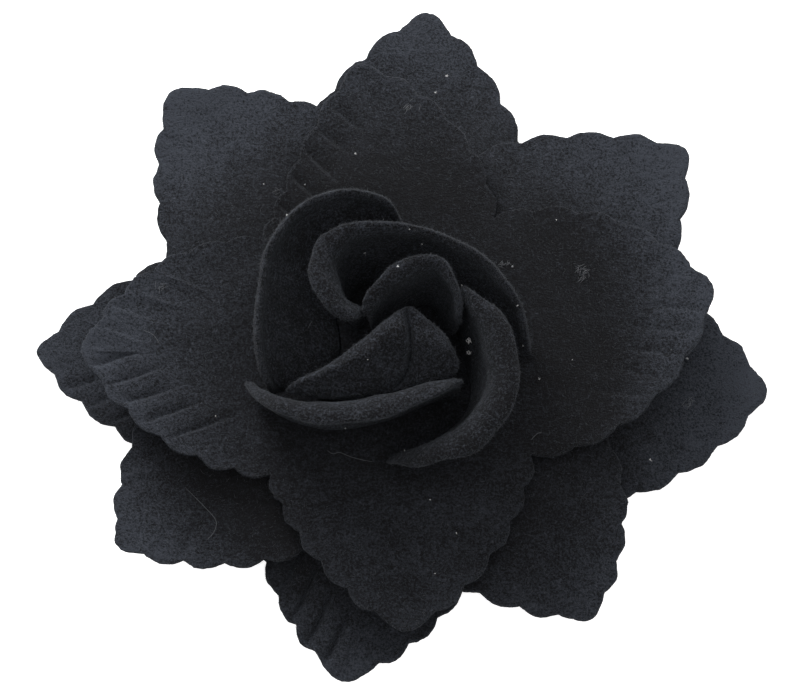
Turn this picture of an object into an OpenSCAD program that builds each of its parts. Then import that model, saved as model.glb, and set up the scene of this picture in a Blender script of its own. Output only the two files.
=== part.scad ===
// A flower brooch of black felt: three die-cut layers of four scalloped leaves,
// a rolled rose of five petals and a folded bud on them, and a bar pin behind.
// It rests on its back, the flower facing up, with the leaf tips of the back layer
// and the ends of the pin on the surface at z = 0.

/* [Felt] */
// Thickness of the felt
felt_t = 1; // [0.8:0.1:1.2]
// Clear space between one piece of felt and the next
gap = 0.2; // [0.1:0.05:0.3]

/* [Leaves] */
// Radius of the disc in the middle of each layer, which stays flat
flat_r = 16; // [14:0.5:17]
// Radius at which the leaves of a layer part
notch_r = 26; // [25.5:0.5:28]
// Radius at which the back layer meets the surface
rest_r = 49; // [48:0.5:50]
// How far a scallop stands out beyond its two cusps
scallop_bulge = 1; // [0.2:0.1:1.4]
// Share by which the scallops widen from the tip to the notch
scallop_growth = 1.1; // [1:0.05:1.3]
// How far the tips of the middle layer stand off the back layer
middle_lift = 2; // [1.5:0.1:3]
// How far the tips of the front layer stand off the back layer
front_lift = 4.5; // [3.5:0.1:6]

/* [Rose] */
// How far the felt turns over where a lip is very wide
lip_turn = 150; // [90:5:160]
// Depth of the fold down the middle of the bud
bud_fold_depth = 1.2; // [0.4:0.1:1.6]
// How far the two halves of the bud bulge
bud_crown = 3; // [1:0.5:4]

/* [Pin] */
// Height of the pin, from the surface to the back layer
pin_h = 4.8; // [4.5:0.1:5.5]
// Length of the bar
bar_l = 34; // [28:1:36]
// Width of the bar
bar_w = 5; // [4:0.5:7]
// Thickness of the bar
bar_t = 0.8; // [0.6:0.1:1]
// Diameter of the pin's wire
wire_d = 0.9; // [0.8:0.1:1.2]

/* [Hidden] */

// Place of the flower's middle, which puts the outline's own middle over the origin
flower_x = -1.46;
flower_y = -4.4;

// Room under the slanting foot of a petal and under the foot of the bud
slant_room = 0.55;
bud_room = 0.3;
felt_step = felt_t + gap;
back_z = pin_h + gap;
middle_z = back_z + felt_step;
front_z = middle_z + felt_step;
petal_foot_z = front_z + felt_t + slant_room;
bud_foot_z = front_z + felt_t + bud_room;
// How far the layers fall from their flat middle to the surface
fall_h = back_z;

felt_black = [0.075, 0.077, 0.085];
felt_black_worn = [0.095, 0.097, 0.107];
steel = [0.72, 0.72, 0.74];

// Columns of a leaf's row: the bearing of its tip, its length from the middle of the
// flower, the width of its tip's round lobe, how far its edge bows out from a straight
// taper on the clockwise side and on the other, how far its tip rises, and the depth of
// the pleats on each side
BEARING = 0;
REACH = 1;
TIP_W = 2;
BOW_CW = 3;
BOW_CCW = 4;
RISE = 5;
PLEAT_CW = 6;
PLEAT_CCW = 7;

back_rows = [
  [ 84.5, 57.5,  8.5, -0.5, -1.0, 0,   0.15, 0.15],
  [177.5, 54.0,  7.0, -2.5, -1.0, 0,   0.15, 0.60],
  [261.5, 49.0, 10.5, -0.5, -0.5, 0,   0.90, 0.40],
  [356.0, 57.0,  8.0,  0.5,  0.5, 0,   0.15, 0.15]];
middle_rows = [
  [ 36.5, 56.0,  7.5, -0.5, -1.0, 0.5, 0.15, 0.15],
  [128.5, 54.5, 10.0,  0.5, -0.5, 1.0, 0.15, 0.15],
  [215.0, 50.0,  7.0,  0.0, -1.5, 0.5, 0.15, 0.15],
  [307.0, 49.5,  8.0, -3.0,  2.0, 0,   0.15, 0.15]];
front_rows = [
  [ 96.0, 46.5,  8.0,  0.5, -4.0, 0.5, 0.15, 0.50],
  [179.5, 46.5, 10.0,  1.0, -0.5, 1.5, 0.50, 0.70],
  [273.0, 42.5,  9.5, -1.5, -1.0, 0.5, 0.15, 0.20],
  [ 12.0, 49.5,  8.5,  0.5,  1.0, 0.5, 0.15, 0.15]];
// Scallops on each side of a leaf, the points of a scallop and those of a tip lobe
scallops = 6;
front_scallops = 5;
scallop_points = 3;
tip_points = 4;
// The pleats begin this far outside the notches and are full after a further run
pleat_start = 6;
pleat_run = 12;

// Columns of a rose petal's row, a section through it: the place of its wall at the rim,
// the height of the rim's top, the width of the lip that turns outwards, and the place of
// its foot as a share of the way from the middle to the wall. The rows go round the rose
// anticlockwise, so that the wall's outside lies to the right of the way
WALL_X = 0;
WALL_Y = 1;
TOP = 2;
LIP = 3;
FOOT = 4;

left_sections = [
  [  1.2, 19.6, 12.5, 0.4, 0.70], [ -1.5, 21.6, 16.5, 0.6, 0.63], [ -6.8, 22.0, 18.5, 0.7, 0.58],
  [-13.2, 19.5, 19.0, 0.7, 0.54], [-17.5, 13.9, 19.5, 0.7, 0.47], [-19.1,  6.9, 19.5, 0.7, 0.40],
  [-19.6,  0.8, 19.0, 0.6, 0.38], [-19.2, -3.8, 17.8, 0.6, 0.43], [-17.9, -7.0, 15.5, 0.5, 0.52]];
back_sections = [
  [ 20.4, -0.2, 12.0, 0.4, 0.82], [ 18.3,  5.6, 17.0, 0.6, 0.77], [ 13.0, 11.4, 20.0, 0.7, 0.72],
  [  4.2, 15.2, 21.0, 0.8, 0.70], [ -4.0, 15.2, 21.5, 1.4, 0.70], [ -7.8, 12.6, 21.5, 3.0, 0.74],
  [ -8.6,  9.2, 21.5, 3.4, 0.78], [ -7.7,  6.2, 21.2, 3.4, 0.82], [ -6.2,  4.6, 20.2, 2.8, 0.86],
  [ -4.7,  4.6, 18.8, 1.6, 0.90]];
inner_sections = [
  [10.0, 2.8, 18.6, 0.5, 0.80], [ 9.5, 5.6, 20.2, 0.6, 0.80], [ 8.5, 7.9, 21.2, 0.8, 0.79],
  [ 6.9, 9.7, 22.0, 1.3, 0.77], [ 3.9, 9.2, 22.0, 1.9, 0.76], [ 0.6, 7.3, 22.0, 2.0, 0.76],
  [-1.9, 5.2, 21.2, 1.9, 0.78], [-3.3, 3.4, 20.6, 1.8, 0.80]];
right_sections = [
  [-0.4, -17.0, 11.5, 0.6, 0.92], [ 3.9, -16.5, 16.5, 2.8, 0.91], [ 8.9, -14.3, 18.5, 4.4, 0.88],
  [12.6, -11.0, 19.0, 4.4, 0.86], [14.4,  -7.4, 19.5, 4.2, 0.82], [14.3,  -3.4, 20.0, 4.0, 0.79],
  [13.0,   1.2, 20.0, 3.6, 0.80], [11.1,   5.7, 19.5, 1.4, 0.84], [10.5,   7.5, 18.8, 0.5, 0.84]];
front_sections = [
  [-21.4, -6.0, 14.5, 0.5, 0.94], [-17.6, -9.2, 18.5, 2.0, 0.99], [-12.0, -10.6, 20.0, 3.0, 1.06],
  [ -6.9, -10.6, 20.5, 3.4, 1.12], [-1.0, -9.6, 20.5, 3.2, 1.10], [  5.6, -7.8, 20.0, 2.2, 1.00],
  [ 10.0,  -6.6, 18.5, 0.6, 0.92]];

// Columns of the bud's row: a place on its rim and the height there
bud_rim = [
  [-15.6, -7.9, 16.5], [-7.7, -9.2, 16.5], [1.6, -7.6, 16.0], [9.5, -5.2, 16.5],
  [  8.4, -0.8, 18.5], [ 5.2,  2.2, 19.5], [1.8,  3.6, 20.5], [-4.7, -1.2, 19.5],
  [ -9.1, -4.4, 18.5]];
bud_middle = [0.2, -3.4];
bud_middle_top = 18.4;
bud_foot_share = 0.7;
// Place and width of the bud's fold
bud_fold_x = 1.8;
bud_fold_w = 1.4;

// Sizes of the wire's housing and catch, how far in from the bar's ends they stand, and
// the sides of the pin's round forms
housing_l = 4;
housing_w = 4.5;
catch_r = 1.9;
catch_l = 3;
catch_mouth = 1.1;
wire_z = 1.9;
end_room = 4;
round_sides = 48;

// Small functions on numbers and points

function clamp_share(x) = min(1, max(0, x));
function mix(a, b, f) = a + (b - a) * f;
function unit(v) = v / norm(v);
function on_circle(r, bearing) = [r * cos(bearing), r * sin(bearing)];
function turn_ccw(from, to) = (to - from + 360) % 360;
function right_of(v) = [v[1], -v[0]];
function joined(lists) = [for (l = lists) for (p = l) p];

// A smooth curve through the rows of a table; at runs from 0 at the first to 1 at the last
function smooth_row(rows, at) =
  let (spans = len(rows) - 1,
       i = min(spans - 1, floor(at * spans)),
       f = at * spans - i,
       a = rows[max(0, i - 1)], b = rows[i], c = rows[i + 1], d = rows[min(spans, i + 2)])
  b + 0.5 * f * ((c - a) + f * ((2 * a - 5 * b + 4 * c - d) + f * (3 * (b - c) + d - a)));

// The same for a closed loop
function smooth_loop(rows, at) =
  let (n = len(rows), s = at * n, i = floor(s) % n, f = s - floor(s),
       a = rows[(i + n - 1) % n], b = rows[i], c = rows[(i + 1) % n], d = rows[(i + 2) % n])
  b + 0.5 * f * ((c - a) + f * ((2 * a - 5 * b + 4 * c - d) + f * (3 * (b - c) + d - a)));

// Outline of a layer. Each point is [x, y, part, side, wave]: part is 0 on the leaf's
// midline and 1 at the notch, side is the column of its pleats, and wave is 0 at a cusp
// and 1 in the middle of a scallop

function edge_r(reach, bow, part) = mix(reach, notch_r, part) + bow * sin(180 * part);

function cusp_part(first, k, sides) = mix(first, 1, pow(k / sides, scallop_growth));

function side_cusps(row, half, way, bow, sides) =
  let (first = asin(row[TIP_W] / 2 / row[REACH]) / half)
  [for (k = [0:sides])
    let (part = cusp_part(first, k, sides), r = edge_r(row[REACH], bow, part))
    concat(on_circle(r, row[BEARING] + way * half * part), part)];

function lobe(a, b, bulge, points, side) =
  let (out = unit(right_of([b[0] - a[0], b[1] - a[1]])))
  [for (k = [0:points - 1])
    let (f = k / points, wave = sin(180 * f), p = mix(a, b, f))
    [p[0] + out[0] * bulge * wave, p[1] + out[1] * bulge * wave, p[2], side, wave]];

function leaf_outline(rows, i, sides) =
  let (n = len(rows), row = rows[i],
       half_cw = turn_ccw(rows[(i + n - 1) % n][BEARING], row[BEARING]) / 2,
       half_ccw = turn_ccw(row[BEARING], rows[(i + 1) % n][BEARING]) / 2,
       cw = side_cusps(row, half_cw, -1, row[BOW_CW], sides),
       ccw = side_cusps(row, half_ccw, 1, row[BOW_CCW], sides),
       tip_bulge = row[REACH] - norm([cw[0][0] + ccw[0][0], cw[0][1] + ccw[0][1]]) / 2)
  concat(
    joined([for (k = [sides:-1:1]) lobe(cw[k], cw[k - 1], scallop_bulge, scallop_points, PLEAT_CW)]),
    lobe(cw[0], ccw[0], tip_bulge, tip_points, PLEAT_CCW),
    joined([for (k = [1:sides]) lobe(ccw[k - 1], ccw[k], scallop_bulge, scallop_points, PLEAT_CCW)]));

// Height of a layer's underside. All layers fall towards the surface along one curve,
// and each stands off the one behind it by more towards the tips

function fall(r) = fall_h * (1 - cos(180 * clamp_share((r - flat_r) / (rest_r - flat_r)))) / 2;

function leaf_z(base, lift, row, p, r, share) =
  let (out = max(0, r - flat_r) / (rest_r - flat_r),
       tip = share * share * (1 - p[2] * p[2]),
       pleated = clamp_share((r - notch_r - pleat_start) / pleat_run))
  base - fall(r) + lift * out + row[RISE] * tip + row[p[3]] * p[4] * pleated;

// Rings go from the middle outwards: two circles inside the notches, then these shares of
// the way to the outline
ring_shares = [0.5, 1];
front_ring_shares = [0.4, 0.75, 1];

function ring(rows, outlines, base, lift, share) =
  [for (i = [0:len(rows) - 1]) for (p = outlines[i])
    let (edge = norm([p[0], p[1]]), r = mix(notch_r - 1, edge, share))
    [p[0] * r / edge, p[1] * r / edge, leaf_z(base, lift, rows[i], p, r, share)]];

module layer(rows, sides, shares, base, lift) {
  outlines = [for (i = [0:len(rows) - 1]) leaf_outline(rows, i, sides)];
  outline = joined(outlines);
  n = len(outline);
  hub = [for (p = outline)
    let (edge = norm([p[0], p[1]]))
    [p[0] * flat_r / edge, p[1] * flat_r / edge, base]];
  under = concat(hub, ring(rows, outlines, base, lift, 0),
                 joined([for (s = shares) ring(rows, outlines, base, lift, s)]), [[0, 0, base]]);
  over = [for (p = under) p + [0, 0, felt_t]];
  m = len(under);
  rings = 1 + len(shares);
  top_faces = concat(
    [for (j = [0:n - 1]) [2 * m - 1, m + (j + 1) % n, m + j]],
    joined([for (k = [0:rings - 1]) for (j = [0:n - 1])
      let (a = m + k * n + j, b = m + k * n + (j + 1) % n)
      [[a, b, b + n], [a, b + n, a + n]]]));
  bottom_faces = [for (f = top_faces) [f[2] - m, f[1] - m, f[0] - m]];
  rim_faces = joined([for (j = [0:n - 1])
    let (a = rings * n + j, b = rings * n + (j + 1) % n)
    [[a, a + m, b + m], [a, b + m, b]]]);
  translate([flower_x, flower_y, 0])
    polyhedron(concat(under, over), concat(top_faces, bottom_faces, rim_faces));
}

// A sheet of felt from a grid of points on its middle surface, wall outwards to the
// right of the way along it

function grid_normal(g, i, j) =
  let (along = g[min(len(g) - 1, i + 1)][j] - g[max(0, i - 1)][j],
       up = g[i][min(len(g[0]) - 1, j + 1)] - g[i][max(0, j - 1)])
  unit(cross(up, along));

module sheet(g) {
  ni = len(g);
  nj = len(g[0]);
  m = ni * nj;
  outer = [for (i = [0:ni - 1]) for (j = [0:nj - 1]) g[i][j] - grid_normal(g, i, j) * felt_t / 2];
  inner = [for (i = [0:ni - 1]) for (j = [0:nj - 1]) g[i][j] + grid_normal(g, i, j) * felt_t / 2];
  outer_faces = joined([for (i = [0:ni - 2]) for (j = [0:nj - 2])
    let (a = i * nj + j, b = a + nj)
    [[a, b, b + 1], [a, b + 1, a + 1]]]);
  inner_faces = [for (f = outer_faces) [f[2] + m, f[1] + m, f[0] + m]];
  foot_and_rim = joined([for (i = [0:ni - 2])
    let (a = i * nj, b = a + nj, c = a + nj - 1, d = b + nj - 1)
    [[a, a + m, b + m], [a, b + m, b], [d, d + m, c + m], [d, c + m, c]]]);
  ends = joined([for (j = [0:nj - 2])
    let (a = j, c = (ni - 1) * nj + j)
    [[a + 1, a + 1 + m, a + m], [a + 1, a + m, a], [c, c + m, c + 1 + m], [c, c + 1 + m, c + 1]]]);
  translate([flower_x, flower_y, 0])
    polyhedron(concat(outer, inner), concat(outer_faces, inner_faces, foot_and_rim, ends));
}

// A rose petal: its wall rises from the foot and stands up towards the rim, and its
// lip turns over outwards along an arc

// Spans up the wall and round the lip
wall_rows = 4;
lip_rows = 3;
// Spans of the sheet from one row of its table to the next
row_spans = 3;

function petal_section(sections, at) =
  let (step = 0.01,
       s = smooth_row(sections, at),
       ahead = smooth_row(sections, min(1, at + step)),
       behind = smooth_row(sections, max(0, at - step)),
       out = unit(right_of([ahead[0] - behind[0], ahead[1] - behind[1]])),
       turned = lip_turn * s[LIP] / (s[LIP] + 1),
       bend_r = s[LIP] / (1 - cos(turned)),
       wall_top = s[TOP] - bend_r * sin(min(90, turned)) - felt_t / 2)
  concat(
    [for (k = [0:wall_rows - 1])
      let (v = k / wall_rows, share = mix(s[FOOT], 1, sin(90 * v)))
      [s[WALL_X] * share, s[WALL_Y] * share, mix(petal_foot_z, wall_top, v)]],
    [for (k = [0:lip_rows])
      let (angle = turned * k / lip_rows, away = bend_r * (1 - cos(angle)))
      [s[WALL_X] + out[0] * away, s[WALL_Y] + out[1] * away, wall_top + bend_r * sin(angle)]]);

module rose_petal(sections) {
  spans = row_spans * (len(sections) - 1);
  sheet([for (i = [0:spans]) petal_section(sections, i / spans)]);
}

module rose_petal_left() {
  color(felt_black) rose_petal(left_sections);
}

module rose_petal_back() {
  color(felt_black) rose_petal(back_sections);
}

module rose_petal_inner() {
  color(felt_black_worn) rose_petal(inner_sections);
}

module rose_petal_right() {
  color(felt_black_worn) rose_petal(right_sections);
}

module rose_petal_front() {
  color(felt_black_worn) rose_petal(front_sections);
}

// The bud: a folded petal that fills the heart of the rose, with the fold as a valley

bud_points = 36;
bud_shares = [1, 0.75, 0.5, 0.25];

function bud_place(at, share) =
  let (rim = smooth_loop(bud_rim, at),
       x = mix(bud_middle[0], rim[0], share),
       y = mix(bud_middle[1], rim[1], share),
       fold = exp(-pow((x - bud_fold_x) / bud_fold_w, 2)) * bud_fold_depth)
  [x, y, mix(bud_middle_top, rim[2], share * share) + bud_crown * share * (1 - share) - fold];

module bud() {
  n = bud_points;
  foot = [for (j = [0:n - 1]) let (p = bud_place(j / n, bud_foot_share)) [p[0], p[1], bud_foot_z]];
  top = joined([for (s = bud_shares) [for (j = [0:n - 1]) bud_place(j / n, s)]]);
  last = n * (len(bud_shares) + 1);
  points = concat(foot, top, [bud_place(0, 0), [bud_middle[0], bud_middle[1], bud_foot_z]]);
  faces = concat(
    joined([for (k = [0:len(bud_shares) - 1]) for (j = [0:n - 1])
      let (a = k * n + j, b = k * n + (j + 1) % n)
      [[a, a + n, b + n], [a, b + n, b]]]),
    [for (j = [0:n - 1]) [last - n + j, last, last - n + (j + 1) % n]],
    [for (j = [0:n - 1]) [(j + 1) % n, last + 1, j]]);
  color(felt_black_worn)
    translate([flower_x, flower_y, 0])
      polyhedron(points, faces);
}

// The layers of leaves

module back_leaves() {
  color(felt_black) layer(back_rows, scallops, ring_shares, back_z, 0);
}

module middle_leaves() {
  color(felt_black) layer(middle_rows, scallops, ring_shares, middle_z, middle_lift);
}

module front_leaves() {
  color(felt_black_worn) layer(front_rows, front_scallops, front_ring_shares, front_z, front_lift);
}

// The pin: a bar with round ends, the wire's housing at one end and its catch at the
// other, all one piece with the wire lying closed in the catch

module brooch_pin() {
  housing_x = -bar_l / 2 + end_room;
  catch_x = bar_l / 2 - end_room;
  under_bar = pin_h - bar_t;
  color(steel)
    translate([flower_x, flower_y, 0]) {
      difference() {
        union() {
          translate([-bar_l / 2 + bar_w / 2, -bar_w / 2, under_bar])
            cube([bar_l - bar_w, bar_w, bar_t]);
          for (side = [-1, 1])
            translate([side * (bar_l - bar_w) / 2, 0, under_bar])
              cylinder(h = bar_t, d = bar_w, $fn = round_sides);
          translate([housing_x - housing_l / 2, -housing_w / 2, 0])
            cube([housing_l, housing_w, under_bar]);
          translate([catch_x, 0, catch_r])
            rotate([0, 90, 0])
              cylinder(h = catch_l, r = catch_r, center = true, $fn = round_sides);
          translate([catch_x - catch_l / 2, -catch_r / 2, catch_r])
            cube([catch_l, catch_r, under_bar - catch_r]);
        }
        translate([catch_x - catch_l, -2 * catch_r, wire_z - catch_mouth / 2])
          cube([2 * catch_l, 2 * catch_r, catch_mouth]);
      }
      translate([housing_x, 0, wire_z])
        rotate([0, 90, 0])
          cylinder(h = catch_x - housing_x + catch_l, d = wire_d, $fn = round_sides);
    }
}

brooch_pin();
back_leaves();
middle_leaves();
front_leaves();
rose_petal_left();
rose_petal_back();
rose_petal_right();
rose_petal_inner();
rose_petal_front();
bud();
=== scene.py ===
import math

import bmesh
import bpy
import numpy as np
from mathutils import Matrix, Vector
from mathutils.bvhtree import BVHTree


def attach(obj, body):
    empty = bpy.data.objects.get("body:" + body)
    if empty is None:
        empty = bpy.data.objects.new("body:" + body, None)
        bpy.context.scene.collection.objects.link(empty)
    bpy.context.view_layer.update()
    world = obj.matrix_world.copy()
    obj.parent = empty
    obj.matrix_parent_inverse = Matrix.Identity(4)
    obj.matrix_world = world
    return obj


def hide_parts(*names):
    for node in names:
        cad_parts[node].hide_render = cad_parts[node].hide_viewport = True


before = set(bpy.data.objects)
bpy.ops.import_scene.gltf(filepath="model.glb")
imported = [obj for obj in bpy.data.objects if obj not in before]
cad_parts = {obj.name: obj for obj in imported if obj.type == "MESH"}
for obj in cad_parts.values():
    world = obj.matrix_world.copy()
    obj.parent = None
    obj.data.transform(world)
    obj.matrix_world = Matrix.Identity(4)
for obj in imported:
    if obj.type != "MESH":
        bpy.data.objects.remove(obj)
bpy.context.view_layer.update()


# What every section uses: sizes are in millimetres until MM makes metres of them, and each new
# thing goes into the scene in one way. The flower's middle lies a little off the frame's.

MM = 0.001
flower_x = -1.46
flower_y = -4.4


def in_scene(name, data):
    """A new object in the scene, made of a mesh, a lamp's data or a camera's."""
    made = bpy.data.objects.new(name, data)
    bpy.context.scene.collection.objects.link(made)
    return made


# The view: the brooch lies on its back with the flower facing up, and a camera with a long
# lens looks down on it from 74 degrees above the table, 600 mm away.

view_angle = math.radians(74)
view_away = 600
view_width = 119.1
view_aim = Vector((-0.71, -3.8, 7.9))
sensor_width = 36

camera_data = bpy.data.cameras.new("camera")
camera_data.sensor_width = sensor_width
camera_data.lens = sensor_width * view_away / view_width
camera_data.clip_start = 0.01
camera_data.clip_end = 10
camera = in_scene("camera", camera_data)
away = Vector((0, -math.cos(view_angle), math.sin(view_angle))) * view_away
camera.location = (view_aim + away) * MM
camera.rotation_euler = (math.pi / 2 - view_angle, 0, 0)
bpy.context.scene.camera = camera
bpy.context.scene.view_settings.view_transform = "Standard"


# The table and the light: a white table top under a tent that is brightest overhead, with
# two large soft lamps that stand low beyond the upper leaves.

table_half = 1.5
table_white = (0.9, 0.9, 0.9, 1)
table_glow = 0.9
table_rough = 0.9
tent_low = 0.1
tent_high = 0.98
tent_full_from = 0.8

table_mesh = bpy.data.meshes.new("table")
table_mesh.from_pydata(
    [(x * table_half, y * table_half, 0) for x, y in ((-1, -1), (1, -1), (1, 1), (-1, 1))],
    [], [(0, 1, 2, 3)])
table = in_scene("table", table_mesh)
table_top = bpy.data.materials.new("white table top")
table_top.use_nodes = True
table_shader = table_top.node_tree.nodes["Principled BSDF"]
table_shader.inputs["Base Color"].default_value = table_white
table_shader.inputs["Roughness"].default_value = table_rough
table_shader.inputs["Emission Color"].default_value = table_white
table_shader.inputs["Emission Strength"].default_value = table_glow
table_mesh.materials.append(table_top)


def soft_light(name, place, size, power):
    """A round lamp that faces the brooch; its place and size are in metres."""
    lamp_data = bpy.data.lights.new(name, "AREA")
    lamp_data.shape = "DISK"
    lamp_data.size = size
    lamp_data.energy = power
    lamp = in_scene(name, lamp_data)
    lamp.location = place
    lamp.rotation_euler = Vector(place).to_track_quat("Z", "Y").to_euler()


soft_light("lamp beyond the top leaf", place=(-0.18, 0.35, 0.17), size=0.25, power=2.6)
soft_light("lamp beyond the upper right leaf", place=(0.25, 0.36, 0.14), size=0.3, power=0.6)

tent = bpy.data.worlds.new("white tent")
tent.use_nodes = True
tent_nodes = tent.node_tree.nodes
tent_nodes["Background"].inputs["Color"].default_value = (1, 1, 1, 1)
toward = tent_nodes.new("ShaderNodeTexCoord")
height = tent_nodes.new("ShaderNodeSeparateXYZ")
glow = tent_nodes.new("ShaderNodeMapRange")
glow.interpolation_type = "SMOOTHSTEP"
glow.inputs["From Min"].default_value = 0
glow.inputs["From Max"].default_value = tent_full_from
glow.inputs["To Min"].default_value = tent_low
glow.inputs["To Max"].default_value = tent_high
tent.node_tree.links.new(toward.outputs["Generated"], height.inputs["Vector"])
tent.node_tree.links.new(height.outputs["Z"], glow.inputs["Value"])
tent.node_tree.links.new(glow.outputs["Result"], tent_nodes["Background"].inputs["Strength"])
bpy.context.scene.world = tent


# How a finish or a shape is written: a wire is a value at each place, which arithmetic changes
# as it would a number. A new finish starts from the place on the surface.


class Wire:
    """An output of a node in a tree. Python's own arithmetic adds Math nodes to it."""

    def __init__(self, tree, socket=None):
        self.tree = tree
        self.socket = socket

    def add(self, kind, settings=None, inputs=None, output=0):
        """Adds a node, with its settings first, then the values or links of its sockets."""
        node = self.tree.nodes.new(kind)
        for name, value in (settings or {}).items():
            setattr(node, name, value)
        for name, value in (inputs or {}).items():
            if isinstance(value, Wire):
                self.tree.links.new(value.socket, node.inputs[name])
            else:
                node.inputs[name].default_value = value
        return Wire(self.tree, node.outputs[output])

    def math(self, operation, *others):
        """Adds a Math node, which has this value as its first one."""
        return self.add("ShaderNodeMath", {"operation": operation}, dict(enumerate((self, *others))))

    def __add__(self, other):
        return self.math("ADD", other)

    __radd__ = __add__

    def __sub__(self, other):
        return self.math("SUBTRACT", other)

    def __rsub__(self, other):
        return self.add("ShaderNodeMath", {"operation": "SUBTRACT"}, {0: other, 1: self})

    def __mul__(self, other):
        return self.math("MULTIPLY", other)

    __rmul__ = __mul__

    def __truediv__(self, other):
        return self.math("DIVIDE", other)

    def __pow__(self, other):
        return self.math("POWER", other)

    def __abs__(self):
        return self.math("ABSOLUTE")

    def held(self):
        """The value kept from 0 to 1."""
        return self.math("MAXIMUM", 0).math("MINIMUM", 1)

    def noise(self, scale, detail=2, roughness=0.5, distortion=0):
        """A value about 0.5 that wanders over the surface; self is the place."""
        return self.add("ShaderNodeTexNoise", {}, {
            "Vector": self, "Scale": scale, "Detail": detail,
            "Roughness": roughness, "Distortion": distortion})

    def stretched(self, scale):
        """The place, drawn out by a scale of its own along each axis."""
        return self.add("ShaderNodeMapping", {}, {"Vector": self, "Scale": scale})

    def colour(self, one, other):
        """A colour between two others; self is the share of the other one."""
        return self.add("ShaderNodeMix", {"data_type": "RGBA"}, {0: self, 6: one, 7: other}, 2)


def new_finish(name):
    """A new material, the place on the surface and its shader's sockets."""
    material = bpy.data.materials.new(name)
    material.use_nodes = True
    shader = material.node_tree.nodes["Principled BSDF"]
    place = Wire(material.node_tree).add("ShaderNodeTexCoord", output="Object")
    return material, place, shader.inputs


def lead(wire, socket):
    """Joins a wire to a socket of its own tree."""
    wire.tree.links.new(wire.socket, socket)


# The bar pin behind the flower: a stamped bar with its wire, housing and catch, of bright
# steel, drawn lengthwise. It stays as the CAD model has it and gets its finish here.

steel_dark = (0.50, 0.50, 0.52, 1)
steel_light = (0.68, 0.68, 0.69, 1)
drawn_depth = 0.00002

steel, place, socket = new_finish("bright steel")
drawn = place.stretched((60, 2400, 2400)).noise(1, 4, 0.6)
handled = place.noise(160, 3, 0.55)
lead(handled.colour(steel_dark, steel_light), socket["Base Color"])
lead(0.22 + 0.14 * drawn + 0.12 * handled, socket["Roughness"])
lead(place.add("ShaderNodeBump", {}, {
    "Strength": 0.25, "Distance": drawn_depth, "Height": drawn}), socket["Normal"])
socket["Metallic"].default_value = 1
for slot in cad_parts["brooch_pin"].material_slots:
    slot.material = steel


# The felt: black needle felt, 1 mm thick, with a share of paler fibres matted in. Its cut edges
# fray and carry a painted highlight, and loose fibres, stray hairs and lint have finishes of their
# own. Light and shade are painted into its colour as more or fewer pale fibres: lighter towards
# the leaf tips, lighter or darker near the middle of each leaf, darker on the left and right petals.

felt_t = 1
felt_black = (0.0050, 0.0047, 0.0051, 1)
felt_pale_and_painted_light = (0.0430, 0.0480, 0.0600, 1)
fibre_black = (0.050, 0.054, 0.062, 1)
hair_grey = (0.11, 0.115, 0.125, 1)
lint_white = (0.70, 0.70, 0.71, 1)
grain_share = 5.6
hairs_share = 0.6
glints_share = 1.6
mottle_share = 1.1
clump_share = 0.6
combed_share = 1.3
fray_and_painted_highlight_share = 0.13
felt_depth = 0.00012
sheen_tint = (0.78, 0.88, 1.0, 1)


def felt_finish(name, pale_share, roughness):
    """Needle felt, with more of its paler fibres on top where light is painted on, fewer where shade is
    painted on, and a painted highlight along its cut edges.
    """
    material, place, socket = new_finish(name)
    cut = place.add("ShaderNodeAttribute", {"attribute_name": "cut"}, output="Fac")
    faded = place.add("ShaderNodeAttribute", {"attribute_name": "faded"}, output="Fac")
    mottle = place.noise(130, 3, 0.6) - 0.5
    clump = place.noise(450, 3, 0.7) - 0.5
    combed = place.stretched((420, 1500, 1500)).noise(1, 3, 0.7, 0.7) - 0.5
    grain = place.noise(2900, 3, 0.85) - 0.5
    hairs = (1 - abs(place.noise(900, 2, 0.6, 1.2) - 0.5) * 14).held()
    glints = ((place.noise(1500, 2, 0.7, 0.5) - 0.62) * 8).held()
    matted = grain_share * grain + hairs_share * (hairs - 0.3) + glints_share * glints
    # The cut edges are painted paler, partly for frayed fibres and partly as a painted highlight.
    fray_and_painted_highlight = ((place.noise(280, 2, 0.6) - 0.38) * 4).held()
    # Painted light and shade: the attribute adds pale fibres where light is painted and takes them away
    # where shade is painted.
    amount = pale_share + faded
    uneven = mottle_share * mottle + clump_share * clump + combed_share * combed + matted
    pale = amount + (roughness + 0.6 * amount) * uneven + fray_and_painted_highlight_share * cut * fray_and_painted_highlight
    lead(pale.held().colour(felt_black, felt_pale_and_painted_light), socket["Base Color"])
    lead(place.add("ShaderNodeBump", {}, {
        "Strength": 0.8, "Distance": felt_depth, "Height": matted}), socket["Normal"])
    socket["Roughness"].default_value = 0.95
    socket["Specular IOR Level"].default_value = 0.1
    socket["Sheen Weight"].default_value = 0.05
    socket["Sheen Roughness"].default_value = 0.5
    socket["Sheen Tint"].default_value = sheen_tint
    return material


def fibre_finish(name, colour):
    """A single fibre, hair or speck of lint, of one colour."""
    material, _, socket = new_finish(name)
    socket["Base Color"].default_value = colour
    socket["Roughness"].default_value = 0.7
    socket["Specular IOR Level"].default_value = 0.3
    return material


felt = felt_finish("black felt", pale_share=0.10, roughness=0.25)
fibre = fibre_finish("loose felt fibre", fibre_black)
hair = fibre_finish("stray hair", hair_grey)
lint = fibre_finish("white lint", lint_white)


# The die and the press: a layer is cut flat, as a cross of leaves with scalloped edges, and the
# press then makes its leaves droop and folds their veins. A row of a table is one leaf.

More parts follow.
